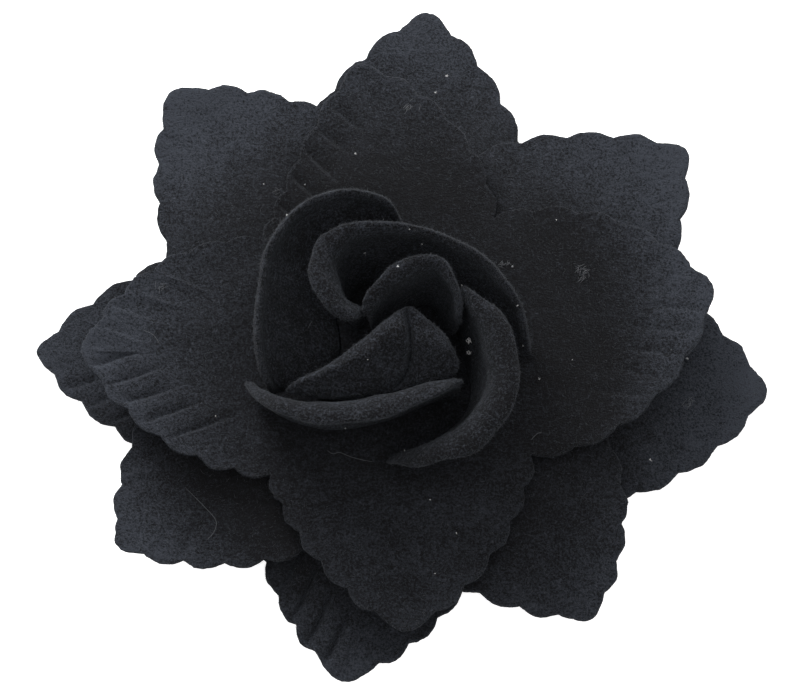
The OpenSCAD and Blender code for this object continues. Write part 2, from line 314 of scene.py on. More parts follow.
flat_r = 16
notch_r = 26
inner_r = notch_r - 1
rest_r = 49
pin_top = 4.8
glue_gap = 0.2
layer_step = 1.2
back_base = pin_top + glue_gap
scallop_bulge = 1
scallop_growth = 1.1
soft_edge = 0.3
edge_angles = np.radians((0, 22, 45, 68, 90))
cut_run = 2.2 * soft_edge
cut_wander = 0.1
painted_light_run = 6
vein_flank = 0.13
vein_slope_from = 0.4
vein_fade_in = 3.5
vein_fade_out = 7
first_vein = -0.5
last_vein = 4.5
vein_ends = 6
# The last three columns of a leaf paint light and shade into its colour: lighter or darker near its
# middle, lighter towards its tip, and the radius where the lighter tip starts.
leaf_words = ("bearing", "reach", "tip_w", "bow_cw", "bow_ccw", "rise",
              "swell_cw", "swell_ccw", "crease_cw", "crease_ccw",
              "vein_cw", "vein_ccw", "slant", "pitch", "painted_light_in", "painted_light_out", "painted_light_from")


def new_tree(name, sizes):
    """A Geometry Nodes tree with one geometry in and out, and a named input for each size."""
    tree = bpy.data.node_groups.new(name, "GeometryNodeTree")
    kinds = {float: "NodeSocketFloat", int: "NodeSocketInt", bpy.types.Material: "NodeSocketMaterial"}
    for way in ("INPUT", "OUTPUT"):
        tree.interface.new_socket("Geometry", in_out=way, socket_type="NodeSocketGeometry")
    for size, value in sizes.items():
        made = tree.interface.new_socket(size, in_out="INPUT", socket_type=kinds[type(value)])
        made.default_value = value
    entry = tree.nodes.new("NodeGroupInput")
    return tree, {socket.name: Wire(tree, socket) for socket in entry.outputs if socket.name}


def end_tree(wire):
    """Gives a tree its last node, which takes the geometry on this wire."""
    end = wire.tree.nodes.new("NodeGroupOutput")
    wire.tree.links.new(wire.socket, end.inputs["Geometry"])


def named(wire, name):
    """A value that the mesh carries at each of its points."""
    return wire.add("GeometryNodeInputNamedAttribute", {"data_type": "FLOAT"}, {"Name": name})


def grown(name, start, tree, sizes):
    """Runs a tree on an object and gives the result as a new object with a plain mesh."""
    modifier = start.modifiers.new(tree.name, "NODES")
    modifier.node_group = tree
    for item in tree.interface.items_tree:
        if item.in_out == "INPUT" and item.name in sizes:
            modifier[item.identifier] = sizes[item.name]
    seen = start.evaluated_get(bpy.context.evaluated_depsgraph_get())
    mesh = bpy.data.meshes.new_from_object(seen)
    start.modifiers.remove(modifier)
    mesh.name = name
    mesh.shade_smooth()
    return in_scene(name, mesh)


def pressed_layer_tree():
    """Gives a flat layer its height: the droop, the lift of its tips, its folds and veins.
    Where it meets the table it is pressed flat below, down to its least thickness."""
    tree, size = new_tree("Pressed felt layer", {
        "Base height": 5.0, "Fall": 5.0, "Flat radius": 16.0, "Rest radius": 49.0, "Lift": 0.0,
        "Fold start": 32.0, "Fold run": 12.0, "Thickness": 1.0, "Least": 0.35, "Wobble": 0.4,
        "Vein length": 12.5, "Vein wander": 0.3,
        "Middle X": 0.0, "Middle Y": 0.0, "Felt": felt})
    start = size["Geometry"]
    place = start.add("GeometryNodeInputPosition")
    x, y = (place.add("ShaderNodeSeparateXYZ", {}, {"Vector": place}, i) for i in (0, 1))
    r = (x * x + y * y) ** 0.5
    out = (r - size["Flat radius"]) / (size["Rest radius"] - size["Flat radius"])
    droop = size["Fall"] * (1 - (out.held() * math.pi).math("COSINE")) / 2
    share, part, turn, inward = (named(place, name) for name in ("share", "part", "fold", "inward"))
    turn = turn + (place.noise(0.12, 1) - 0.5) * size["Vein wander"]
    lift = size["Lift"] * out.math("MAXIMUM", 0)
    rise = named(place, "rise") * share * share * (1 - part * part)
    pressed = ((r - size["Fold start"]) / size["Fold run"]).held()
    swell = abs((turn * math.pi).math("SINE")) * named(place, "swell") * pressed
    f = turn.math("FRACT")
    flank = (1 - f / vein_flank).held()
    slope = ((f - vein_slope_from) / (1 - vein_slope_from)).held() ** 2
    seen = ((size["Vein length"] - inward) / vein_fade_out).held()
    seen = seen * ((inward + 0.2) / vein_fade_in).held()
    seen = seen * seen * (3 - 2 * seen)
    seen = seen * ((turn - first_vein) * vein_ends).held() * ((last_vein - turn) * vein_ends).held()
    vein = slope.math("MAXIMUM", flank) * named(place, "crease") * seen
    wander = (place.noise(0.07, 1) - 0.5) * size["Wobble"] * 8 * out.held() * (1 - out.held())
    level = named(place, "level")
    z = (size["Base height"] - droop + lift + rise + swell - vein + wander
         + level * size["Thickness"])
    z = z.math("MAXIMUM", level * size["Least"])
    point = place.add("ShaderNodeCombineXYZ", {}, {
        "X": (x + size["Middle X"]) * MM, "Y": (y + size["Middle Y"]) * MM, "Z": z * MM})
    shaped = start.add("GeometryNodeSetPosition", {}, {"Geometry": start, "Position": point})
    whole = shaped.add("GeometryNodeRealizeInstances", {}, {"Geometry": shaped})
    end_tree(whole.add("GeometryNodeSetMaterial", {}, {"Geometry": whole, "Material": size["Felt"]}))
    return tree


def carry(mesh, **values):
    """Lets the mesh carry a value at each point, under a name."""
    for name, value in values.items():
        mesh.attributes.new(name, "FLOAT", "POINT").data.foreach_set("value", np.ravel(value))


def lobe(a, b, bulge, points):
    """From one cusp to the next on a curve that stands out to the right of the way."""
    f = np.arange(points) / points
    return a + (b - a) * f - 1j * (b - a) / abs(b - a) * bulge * np.sin(math.pi * f)


def leaf_cusps(row, half, way, bow, scallops):
    """The cusps along one side of a leaf, from its tip to the notch, and their parts."""
    first = math.degrees(math.asin(row["tip_w"] / 2 / row["reach"])) / half
    part = first + (1 - first) * (np.arange(scallops + 1) / scallops) ** scallop_growth
    r = row["reach"] + (notch_r - row["reach"]) * part
    r = r + bow * np.sin(math.pi * part)
    return r * np.exp(1j * np.radians(row["bearing"] + way * half * part)), part


def leaf_outline(rows, i, scallops, scallop_points, tip_points):
    """One leaf's edge, anticlockwise: a column for the place, the part and the side."""
    row, after, before = rows[i], rows[(i + 1) % len(rows)], rows[i - 1]
    half_cw = (row["bearing"] - before["bearing"]) % 360 / 2
    half_ccw = (after["bearing"] - row["bearing"]) % 360 / 2
    cw, part_cw = leaf_cusps(row, half_cw, -1, row["bow_cw"], scallops)
    ccw, part_ccw = leaf_cusps(row, half_ccw, 1, row["bow_ccw"], scallops)
    tip_bulge = row["reach"] - abs(cw[0] + ccw[0]) / 2
    edge, part, side = [], [], []
    for k in range(scallops, 0, -1):
        edge.append(lobe(cw[k], cw[k - 1], scallop_bulge, scallop_points))
        part.append(np.linspace(part_cw[k], part_cw[k - 1], scallop_points, endpoint=False))
        side.append(np.full(scallop_points, -1))
    edge.append(lobe(cw[0], ccw[0], tip_bulge, tip_points))
    part.append(np.linspace(-part_cw[0], part_ccw[0], tip_points, endpoint=False))
    side.append(np.where(part[-1] < 0, -1, 1))
    for k in range(1, scallops + 1):
        edge.append(lobe(ccw[k - 1], ccw[k], scallop_bulge, scallop_points))
        part.append(np.linspace(part_ccw[k - 1], part_ccw[k], scallop_points, endpoint=False))
        side.append(np.full(scallop_points, 1))
    return np.concatenate(edge), abs(np.concatenate(part)), np.concatenate(side)


def turn_at(place, side, row):
    """Which vein a place is at: a whole number on each vein, the first one nearest the tip."""
    own = place * np.exp(-1j * math.radians(row["bearing"]))
    slant = math.radians(row["slant"])
    across = own.imag * side * math.cos(slant) - own.real * math.sin(slant)
    return (across - np.where(side < 0, row["vein_cw"], row["vein_ccw"])) / row["pitch"]


def waves(seed, x, y, longest):
    """A gentle unevenness, about 0: a few waves that run in any direction."""
    draw = np.random.default_rng(seed)
    height = 0
    for turn, start, size in draw.uniform((0, 0, 0.4), (2 * math.pi, 2 * math.pi, 1), (7, 3)):
        run = x * math.cos(turn) + y * math.sin(turn)
        height = height + np.sin(2 * math.pi * run / (size * longest) + start) / 3
    return height


def layer_rings(reach, shares):
    """The rings of a layer, over its top, round its soft edge and back below, where every fifth
    one is enough: each one's radius at every point, and its level, which is 1 on top."""
    inset = soft_edge * (1 - np.cos(edge_angles)[::-1])
    fall = soft_edge * (1 - np.sin(edge_angles)[::-1])
    middle = (flat_r * 0.5, flat_r, 0.5 * (flat_r + inner_r))
    rings = [(np.full(len(reach), r), 1.0) for r in middle]
    rings += [(inner_r + (reach - soft_edge - inner_r) * share, 1.0) for share in shares]
    rings += [(reach - inset[k], 1 - fall[k] / felt_t) for k in (3, 2, 1, 0)]
    coarse = [k for k in range(len(rings)) if k < 3 or k >= len(rings) - 4 or k % 5 == 0]
    rings += [(rings[k][0], 1 - rings[k][1]) for k in reversed(coarse)]
    return np.array([r for r, level in rings]), np.array([[level] for r, level in rings])


def flat_layer(name, rows, scallops, scallop_points, tip_points, shares):
    """A flat layer, cut to its outline, with what the press needs to know at each point."""
    leaves = [leaf_outline(rows, i, scallops, scallop_points, tip_points) for i in range(len(rows))]
    edge, part, side = (np.concatenate(column) for column in zip(*leaves))
    own = np.repeat(np.arange(len(rows)), [len(leaf[0]) for leaf in leaves])
    reach = abs(edge) + cut_wander * waves(len(edge), edge.real, edge.imag, 4)
    reach += 0.5 * cut_wander * waves(len(edge) + 1, edge.real, edge.imag, 1.8)
    r, level = layer_rings(reach, shares)
    m, n = r.shape
    place = edge / abs(edge) * r
    share = np.clip((r - inner_r) / (reach - inner_r), 0, 1)

    def column(word):
        return np.array([row[word] for row in rows])[own]

    def fit(value, top=0.0, low=0.0):
        return np.append(np.ravel(value * np.ones((m, n))), [top, low])

    turn = np.zeros((m, n))
    for i, row in enumerate(rows):
        mine = own == i
        turn[:, mine] = turn_at(place[:, mine], side[mine], row)
    # Painted light and shade: lighter towards the tips and, leaf by leaf, lighter or darker near the
    # middle.
    outer = np.clip((r - column("painted_light_from")) / (column("reach") - column("painted_light_from")), 0, 1)
    within = np.clip((r - inner_r + painted_light_run) / painted_light_run, 0, 1) * np.clip(2.5 * (1 - part), 0, 1)
    faded = column("painted_light_in") * within + column("painted_light_out") * outer ** 1.4
    swell = np.where(side < 0, column("swell_cw"), column("swell_ccw"))
    crease = np.where(side < 0, column("crease_cw"), column("crease_ccw"))
    cut = np.clip(1 - (reach - r) / cut_run, 0, 1) * np.where(level < 1, 1, 0.8)
    nap = np.where((level > 0.2) & (share > 0.05), 1.0, 0.0)
    points = np.stack([place.real, place.imag, np.zeros((m, n))], axis=2).reshape(-1, 3)
    points = np.vstack([points, [[0, 0, 0], [0, 0, 0]]])
    k, j = np.meshgrid(np.arange(m - 1), np.arange(n), indexing="ij")
    a, b = k * n + j, k * n + (j + 1) % n
    faces = np.stack([a, a + n, b + n, b], axis=2).reshape(-1, 4).tolist()
    last = (m - 1) * n
    faces += [(m * n, j, (j + 1) % n) for j in range(n)]
    faces += [(m * n + 1, last + (j + 1) % n, last + j) for j in range(n)]
    mesh = bpy.data.meshes.new(name)
    mesh.from_pydata(points.tolist(), [], faces)
    carry(mesh, level=fit(level, 1, 0), share=fit(share), faded=fit(faded), part=fit(part),
          inward=fit(reach - r, reach.min(), reach.min()), rise=fit(column("rise")),
          fold=fit(turn), swell=fit(swell), crease=fit(crease), cut=fit(cut), nap=fit(nap))
    return in_scene(name, mesh)


def leaf_layer(name, node, rows, scallops, points, base, lift, dense_from, rings):
    """One layer of leaves, pressed, which stands for its CAD node and lies on the last one."""
    shares = np.concatenate([[0.0, dense_from / 2], np.linspace(dense_from, 1, rings)])
    flat = flat_layer(name + "_flat", rows, scallops, points, 2 * points, shares)
    layer = grown(name, flat, press, {
        "Base height": base, "Fall": back_base, "Flat radius": float(flat_r),
        "Rest radius": float(rest_r), "Lift": lift, "Thickness": float(felt_t),
        "Middle X": flower_x, "Middle Y": flower_y, "Felt": felt})
    bpy.data.objects.remove(flat)
    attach(layer, "root")
    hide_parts(node)
    return layer


press = pressed_layer_tree()


# The loose fibres: short ones that stand on the felt at all angles, and far more of them along
# the cut edges, where the die or the scissors opened it.


def loose_fibre_tree():
    """Fibres that stand loose on the felt, more of them along its cut edges."""
    tree, size = new_tree("Loose fibres", {
        "Density": 1.0, "Edge density": 10.0, "Length": 0.55, "Width": 0.046,
        "Lean from": 50.0, "Lean to": 89.0, "Seed": 1, "Fibre": fibre})
    start = size["Geometry"]
    cover = named(start, "nap") * (size["Density"] + size["Edge density"] * named(start, "cut"))
    spread = start.add("GeometryNodeDistributePointsOnFaces", {"distribute_method": "RANDOM"}, {
        "Mesh": start, "Density": cover / MM ** 2, "Seed": size["Seed"]})
    normal = Wire(tree, spread.socket.node.outputs["Rotation"])
    low = start.add("ShaderNodeCombineXYZ", {}, {"X": size["Lean from"] * math.radians(1)})
    high = start.add("ShaderNodeCombineXYZ", {}, {
        "X": size["Lean to"] * math.radians(1), "Z": 2 * math.pi})
    lean = start.add("FunctionNodeRandomValue", {"data_type": "FLOAT_VECTOR"}, {
        "Min": low, "Max": high, "Seed": size["Seed"] + 7})
    turned = start.add("FunctionNodeRotateRotation", {"rotation_space": "LOCAL"}, {
        "Rotation": normal, "Rotate By": start.add("FunctionNodeEulerToRotation", {}, {"Euler": lean})})
    draw = start.add("FunctionNodeRandomValue", {"data_type": "FLOAT"}, {
        2: 0.0, 3: 1.0, "Seed": size["Seed"] + 13}, 1)
    grow = 0.3 + 0.7 * draw + 0.5 * draw ** 8
    strand = start.add("GeometryNodeMeshCone", {}, {
        "Vertices": 3, "Side Segments": 1, "Radius Top": 0.0,
        "Radius Bottom": size["Width"] * MM / 2, "Depth": size["Length"] * MM})
    grown_on = start.add("GeometryNodeInstanceOnPoints", {}, {
        "Points": spread, "Instance": strand, "Rotation": turned, "Scale": grow})
    whole = start.add("GeometryNodeRealizeInstances", {}, {"Geometry": grown_on})
    end_tree(whole.add("GeometryNodeSetMaterial", {}, {"Geometry": whole, "Material": size["Fibre"]}))
    return tree


fuzz = loose_fibre_tree()


def with_fuzz(piece, seed, density=2.0, edge=20.0):
    fibres = grown(piece.name + "_fuzz", piece, fuzz, {
        "Density": density, "Edge density": edge, "Seed": seed, "Fibre": fibre})
    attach(fibres, "root")


# The back layer: four leaves in one, die-cut with scalloped edges from a square of 1 mm
# black needle felt, then pressed while damp so that the leaves droop and the veins of the
# bottom and left ones fold. It is glued to the pin's bar in the middle.

back_rows = [dict(zip(leaf_words, row)) for row in (
    (84.5, 57.5, 8.5, -0.5, -1.0, 0, 0.05, 0.05, 0.05, 0.05, -12, -12, 20, 3.6, 0.0, 0.67, 32),
    (177.5, 54.0, 7.0, -2.5, -1.0, 0, 0.05, 0.10, 0.05, 0.28, -12, -11.5, 20, 3.6, 0.0, 0.70, 32),
    (261.5, 49.0, 10.5, -0.5, -0.5, 0, 0.30, 0.10, 0.80, 0.10, -12.8, -12, 20, 3.6, 0.03, 0.55, 32),
    (356.0, 57.0, 8.0, 0.5, 0.5, 0, 0.05, 0.05, 0.05, 0.05, -12, -12, 20, 3.6, 0.06, 1.05, 32))]
back_layer = leaf_layer(
    "back_leaf_layer", "back_leaves", back_rows, scallops=6, points=22,
    base=back_base, lift=0.0, dense_from=0.30, rings=36)
with_fuzz(back_layer, seed=11)


# The middle layer: the same cross, turned by half a leaf so that its leaves show between
# those of the back one. It is glued down in the middle and its tips stand free.

middle_rows = [dict(zip(leaf_words, row)) for row in (
    (36.5, 56.0, 7.5, -0.5, -1.0, 0.5, 0.05, 0.05, 0.05, 0.05, -12, -12, 20, 3.6, 0.03, 1.15, 31),
    (128.5, 54.5, 10.0, 0.5, -0.5, 1.0, 0.05, 0.05, 0.05, 0.05, -12, -12, 20, 3.6, 0.0, 1.20, 31),
    (215.0, 50.0, 7.0, 0.0, -1.5, 0.5, 0.10, 0.10, 0.08, 0.08, -12, -12, 20, 3.6, -0.12, 1.0, 31),
    (307.0, 49.5, 8.0, -3.0, 2.0, 0, 0.05, 0.05, 0.05, 0.05, -12, -12, 20, 3.6, 0.0, 0.46, 31))]
middle_layer = leaf_layer(
    "middle_leaf_layer", "middle_leaves", middle_rows, scallops=6, points=14,
    base=back_base + layer_step, lift=2.0, dense_from=0.10, rings=40)
with_fuzz(middle_layer, seed=23)


# The front layer: a cross of four wider and shorter leaves. Deep veins run in from the cusps of
# its left leaf and of its top one's left side, and faint ones on its right leaf's lower side.

front_rows = [dict(zip(leaf_words, row)) for row in (
    (96.0, 46.5, 8.0, 0.5, -4.0, 0.5, 0.05, 0.10, 0.05, 0.50, -12, -23.3, 42, 4.3, -0.12, 0.50, 26),
    (179.5, 46.5, 10.0, 1.0, -0.5, 1.5, 0.10, 0.10, -0.28, 0.55, -15.3, -13.0, 20, 3.6, 0.12, 0.72, 26),
    (273.0, 42.5, 9.5, -1.5, -1.0, 0.5, 0.05, 0.05, 0.05, 0.05, -12, -12, 20, 3.6, 0.12, 0.03, 26),
    (12.0, 49.5, 8.5, 0.5, 1.0, 0.5, 0.07, 0.05, 0.16, 0.05, -13, -12, 20, 3.6, -0.09, 1.07, 32))]
front_layer = leaf_layer(
    "front_leaf_layer", "front_leaves", front_rows, scallops=5, points=28,
    base=back_base + 2 * layer_step, lift=4.5, dense_from=0.05, rings=44)
with_fuzz(front_layer, seed=37)


# The rose: five petals of the same felt, cut as strips with round ends and rolled round the
# bud one after the other, each stitched down at its foot and with its lip turned outwards.
# A petal has a seed, its painted shade, which darkens the left and right petals, its flat size in metres
# and its sections from end to end.

front_top = back_base + 2 * layer_step + felt_t
foot_z = front_top - 0.15
lip_turn = math.radians(150)
wall_rows = 26
lip_rows = 14
cut_soft = 0.4
cut_seen = 0.55
foot_thinned = 2.5
foot_bare = 1.5
corner_r = 2.2
rim_wander = 0.12
lip_wander = 0.07
wall_wander = 0.11


def smooth_rows(rows, at):
    """A smooth curve through the rows of a table, at values from 0 to 1."""
    rows = np.array(rows, float)
    spans = len(rows) - 1
    i = np.minimum(spans - 1, np.floor(at * spans).astype(int))
    f = (at * spans - i)[:, None]
    a, b, c, d = (rows[np.clip(i + k, 0, spans)] for k in (-1, 0, 1, 2))
    return b + 0.5 * f * ((c - a) + f * ((2 * a - 5 * b + 4 * c - d) + f * (3 * (b - c) + d - a)))


def petal_grid(seed, sections, spans):
    """The middle surface of a petal, smooth through its sections. A section is the place of its
    wall, the height of its top, how far its lip turns out and the share at which its foot stands."""
    close = np.array((0, 0.001, 0.003, 0.006, 0.010))
    at = np.concatenate([close, np.linspace(0.016, 0.984, spans), 1 - close[::-1]])
    x, y, top, lip, foot = smooth_rows(sections, at).T
    run = np.cumsum(np.abs(np.diff(x + 1j * y, prepend=x[0] + 1j * y[0])))
    corner = np.clip(corner_r - np.minimum(run, run[-1] - run), 0, corner_r)
    corner = corner_r - (corner_r ** 2 - corner ** 2) ** 0.5
    top = top - corner + rim_wander * waves(seed, run, 0, 12)
    lip = lip * (1 - 0.5 * corner / corner_r) * (1 + lip_wander * waves(seed + 1, run, 0, 10))
    ahead = smooth_rows(sections, np.minimum(1, at + 0.01))
    behind = smooth_rows(sections, np.maximum(0, at - 0.01))
    out = (ahead - behind)[:, 1] - 1j * (ahead - behind)[:, 0]
    out = out / abs(out)
    turned = lip_turn * lip / (lip + 1)
    bend = lip / (1 - np.cos(turned))
    wall_top = top - bend * np.sin(np.minimum(math.pi / 2, turned)) - felt_t / 2
    rows = []
    for v in np.linspace(0, 1, wall_rows, endpoint=False):
        share = foot + (1 - foot) * math.sin(math.pi / 2 * v)
        rows.append((x * share, y * share, foot_z + (wall_top - foot_z) * v))
    for v in 1 - (1 - np.linspace(0, 1, lip_rows)) ** 1.7:
        far = bend * (1 - np.cos(turned * v))
        rows.append((x + out.real * far, y + out.imag * far, wall_top + bend * np.sin(turned * v)))
    return np.array(rows).transpose(2, 0, 1)


def run_of(grid, axis):
    """How far each point of a grid is along its row, from the row's start."""
    steps = np.linalg.norm(np.diff(grid, axis=axis), axis=2)
    first = np.zeros_like(np.take(steps, [0], axis=axis))
    return np.cumsum(np.concatenate([first, steps], axis=axis), axis=axis)


def normal_of(grid):
    """The way that each point of a grid faces."""
    normal = np.cross(np.gradient(grid, axis=1), np.gradient(grid, axis=0))
    return normal / np.linalg.norm(normal, axis=2, keepdims=True)


def felt_sheet(name, seed, painted_shade, grid, node):
    """A closed sheet of felt round a middle surface, slightly uneven, with soft cut edges."""
    lengthwise, upward = run_of(grid, 0), run_of(grid, 1)
    uneven = wall_wander * waves(seed + 2, lengthwise, upward, 9) * np.clip(upward / 5, 0, 1)
    grid = grid + normal_of(grid) * uneven[:, :, None]
    normal = normal_of(grid)
    to_edge = np.minimum.reduce([
        lengthwise, lengthwise[-1:] - lengthwise, upward, upward[:, -1:] - upward])
    near = np.clip(1 - to_edge / cut_soft, 0, 1)
    thinned = 1 - 0.7 * np.clip(1 - upward / foot_thinned, 0, 1)
    half = felt_t / 2 * thinned * (1 - near ** 3) ** (1 / 3)
    cut = np.clip(1.15 - to_edge / cut_seen, 0, 1)
    ni, nj = grid.shape[:2]
    outer, inner = (grid + way * normal * half[:, :, None] for way in (-1, 1))
    points = np.concatenate([outer.reshape(-1, 3), inner.reshape(-1, 3)])
    points = (points + (flower_x, flower_y, 0)) * MM
    i, j = np.meshgrid(np.arange(ni - 1), np.arange(nj - 1), indexing="ij")
    a = i * nj + j
    quads = np.stack([a, a + 1, a + nj + 1, a + nj], axis=2).reshape(-1, 4)
    faces = np.concatenate([quads[:, ::-1], quads + ni * nj])
    mesh = bpy.data.meshes.new(name)
    mesh.from_pydata(points.tolist(), [], faces.tolist())
    nap = np.where(upward > foot_bare, 1.0, 0.0)
    # The petal's painted shade darkens its whole felt, carried like the painted light and shade of the
    # leaves.
    carry(mesh, cut=np.concatenate([cut.ravel()] * 2), nap=np.concatenate([nap.ravel()] * 2),
          faded=np.full(2 * cut.size, painted_shade))
    whole = bmesh.new()
    whole.from_mesh(mesh)
    bmesh.ops.remove_doubles(whole, verts=whole.verts, dist=1e-7)
    whole.to_mesh(mesh)
    whole.free()
    mesh.shade_smooth()
    mesh.materials.append(rose_felt)
    piece = in_scene(name, mesh)
    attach(piece, "root")
    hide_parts(node)
    return piece


rose_felt = felt_finish("black felt of the rose", pale_share=0.16, roughness=0.58)
petals = {
    "left": (11, -0.02, (0.049, 0.0105), [
        (1.2, 19.6, 12.5, 0.4, 0.70), (-1.5, 21.6, 16.5, 0.6, 0.63), (-6.8, 22.0, 18.5, 0.7, 0.58),
        (-13.2, 19.5, 19.0, 0.7, 0.54), (-17.5, 13.9, 19.5, 0.7, 0.47), (-19.1, 6.9, 19.5, 0.7, 0.40),
        (-19.6, 0.8, 19.0, 0.6, 0.38), (-19.2, -3.8, 17.8, 0.6, 0.43), (-17.9, -7.0, 15.5, 0.5, 0.52)]),
    "back": (13, 0.0, (0.048, 0.0112), [
        (20.4, -0.2, 12.0, 0.4, 0.82), (18.3, 5.6, 17.0, 0.6, 0.77), (13.0, 11.4, 20.0, 0.7, 0.72),
        (4.2, 15.2, 21.0, 0.8, 0.70), (-4.0, 15.2, 21.5, 1.4, 0.70), (-7.8, 12.6, 21.5, 3.0, 0.74),
        (-8.6, 9.2, 21.5, 3.4, 0.78), (-7.7, 6.2, 21.2, 3.4, 0.82), (-6.2, 4.6, 20.2, 2.8, 0.86),
        (-4.7, 4.6, 18.8, 1.6, 0.90)]),
    "right": (17, -0.11, (0.0325, 0.0125), [
        (-0.4, -17.0, 11.5, 0.6, 0.92), (3.9, -16.5, 16.5, 2.8, 0.91), (8.9, -14.3, 18.5, 4.4, 0.88),
        (12.6, -11.0, 19.0, 4.4, 0.86), (14.4, -7.4, 19.5, 4.2, 0.82), (14.3, -3.4, 20.0, 4.0, 0.79),
        (13.0, 1.2, 20.0, 3.6, 0.80), (11.1, 5.7, 19.5, 1.4, 0.84), (10.5, 7.5, 18.8, 0.5, 0.84)]),
    "inner": (19, 0.0, (0.0185, 0.0132), [
        (10.0, 2.8, 18.6, 0.5, 0.80), (9.5, 5.6, 20.2, 0.6, 0.80), (8.5, 7.9, 21.2, 0.8, 0.79),
        (6.9, 9.7, 22.0, 1.3, 0.77), (3.9, 9.2, 22.0, 1.9, 0.76), (0.6, 7.3, 22.0, 2.0, 0.76),
        (-1.9, 5.2, 21.2, 1.9, 0.78), (-3.3, 3.4, 20.6, 1.8, 0.80)]),
    "front": (23, 0.0, (0.032, 0.0122), [
        (-21.4, -6.0, 14.5, 0.5, 0.94), (-17.6, -9.2, 18.5, 2.0, 0.99), (-12.0, -10.6, 20.0, 3.0, 1.06),
        (-6.9, -10.6, 20.5, 3.4, 1.12), (-1.0, -9.6, 20.5, 3.2, 1.10), (5.6, -7.8, 20.0, 2.2, 1.00),
        (10.0, -6.6, 18.5, 0.6, 0.92)])}
rose = []
for side, (seed, painted_shade, flat, sections) in petals.items():
    grid = petal_grid(seed, sections, 24 * (len(sections) - 1))
    petal = felt_sheet(f"rose_petal_{side}_felt", seed, painted_shade, grid, f"rose_petal_{side}")
    with_fuzz(petal, seed, density=3.5, edge=26.0)
    rose.append(petal)


# The bud: one more petal, folded tight round itself as the heart of the rose, so that two
# faces meet at a seam down its middle.

bud_rim = [
    (-15.6, -7.9, 16.5), (-7.7, -9.2, 16.5), (1.6, -7.6, 16.0), (9.5, -5.2, 16.5),
    (8.4, -0.8, 18.5), (5.2, 2.2, 19.5), (1.8, 3.6, 20.5), (-4.7, -1.2, 19.5), (-9.1, -4.4, 18.5)]
bud_middle = np.array((0.2, -3.4, 18.4))
bud_crown = 3
bud_smooth = 1.5
bud_points = 240
bud_top_rings = 60
bud_wall_rings = 12
bud_bare_rings = 6
bud_foot_share = 0.7
bud_foot_z = front_top + 0.3
bud_lip = 0.7
bud_lip_soft = 0.8
bud_cut_run = 0.7
bud_cut_share = 0.6
bud_wander = 0.2
seam_x = 2.7
seam_y = -2.2
seam_bow_up = 0.021
seam_bow_down = 0.08
fold_deep = 0.8
fold_wide = 1.9
crease_deep = 1.0
crease_wide = 0.35
flap_high = 0.5
flap_soft = 0.12
flap_sunk = 0.2


def bud_ring(rim, share):
    """One ring of the bud's top, from its rim at 1 to its middle at 0, with the seam across it."""
    x, y = (bud_middle[k] + (rim[:, k] - bud_middle[k]) * share for k in (0, 1))
    near = (0.01 + (x[:, None] - rim[:, 0]) ** 2 + (y[:, None] - rim[:, 1]) ** 2) ** -bud_smooth
    bow = np.where(y > seam_y, seam_bow_up, seam_bow_down)
    seam = seam_x - bow * (y - seam_y) ** 2 - x
    fold = fold_deep * np.exp(-(seam / fold_wide) ** 2)
    fold = fold + crease_deep * np.exp(-(seam / crease_wide) ** 2)
    flap = flap_high / (1 + np.exp(-seam / flap_soft)) - flap_sunk
    z = near @ rim[:, 2] / near.sum(axis=1) + bud_crown * share * (1 - share)
    z = z - fold * (1 - share ** 8) + flap * (1 - share ** 4) + bud_wander * waves(31, x, y, 8)
    return np.stack([x, y, z], axis=1)


def bud_grid(rim):
    """The bud's rings, from its foot up its walls and over its top, and where its felt is cut."""
    shares = np.concatenate([[1.0], 1 - np.linspace(0, 1, bud_top_rings) ** 1.5 * 0.999])
    top = np.array([bud_ring(rim, share) for share in shares])
    to_rim = np.linalg.norm(top[:, :, :2] - top[:1, :, :2], axis=2)
    near = np.clip(1 - to_rim / bud_lip_soft, 0, 1)
    top[:, :, 2] -= bud_lip * (1 - (1 - near ** 2.5) ** (1 / 2.5))
    foot = bud_middle + (rim - bud_middle) * bud_foot_share
    foot[:, 2] = bud_foot_z
    ups = np.linspace(0, 1, bud_wall_rings, endpoint=False)
    walls = [foot + (top[0] - foot) * up for up in ups]
    toward_cut = np.linspace(0, 1, bud_wall_rings)[:, None] * np.ones(len(rim))
    cut = np.concatenate([toward_cut, np.clip(1 - to_rim / bud_cut_run, 0, 1)])
    return np.concatenate([walls, top]), bud_cut_share * cut


def bud_mesh(name, grid, cut):
    """The bud as a closed mesh, with one point in the middle of its top and one of its foot."""
    m, n = cut.shape
    points = np.vstack([grid.reshape(-1, 3), [grid[-1].mean(axis=0)],
                        [(bud_middle[0], bud_middle[1], bud_foot_z)]])
    k, j = np.meshgrid(np.arange(m - 1), np.arange(n), indexing="ij")
    a, b = k * n + j, k * n + (j + 1) % n
    faces = np.stack([a, b, b + n, a + n], axis=2).reshape(-1, 4).tolist()
    faces += [((m - 1) * n + j, (m - 1) * n + (j + 1) % n, m * n) for j in range(n)]
    faces += [((j + 1) % n, j, m * n + 1) for j in range(n)]
    mesh = bpy.data.meshes.new(name)
    mesh.from_pydata(((points + (flower_x, flower_y, 0)) * MM).tolist(), [], faces)
    nap = np.where(np.arange(m) > bud_bare_rings, 1.0, 0.0).repeat(n)
    carry(mesh, cut=np.append(cut.ravel(), [0, 0]), nap=np.append(nap, [1, 0]))
    mesh.shade_smooth()
    mesh.materials.append(rose_felt)
    return mesh


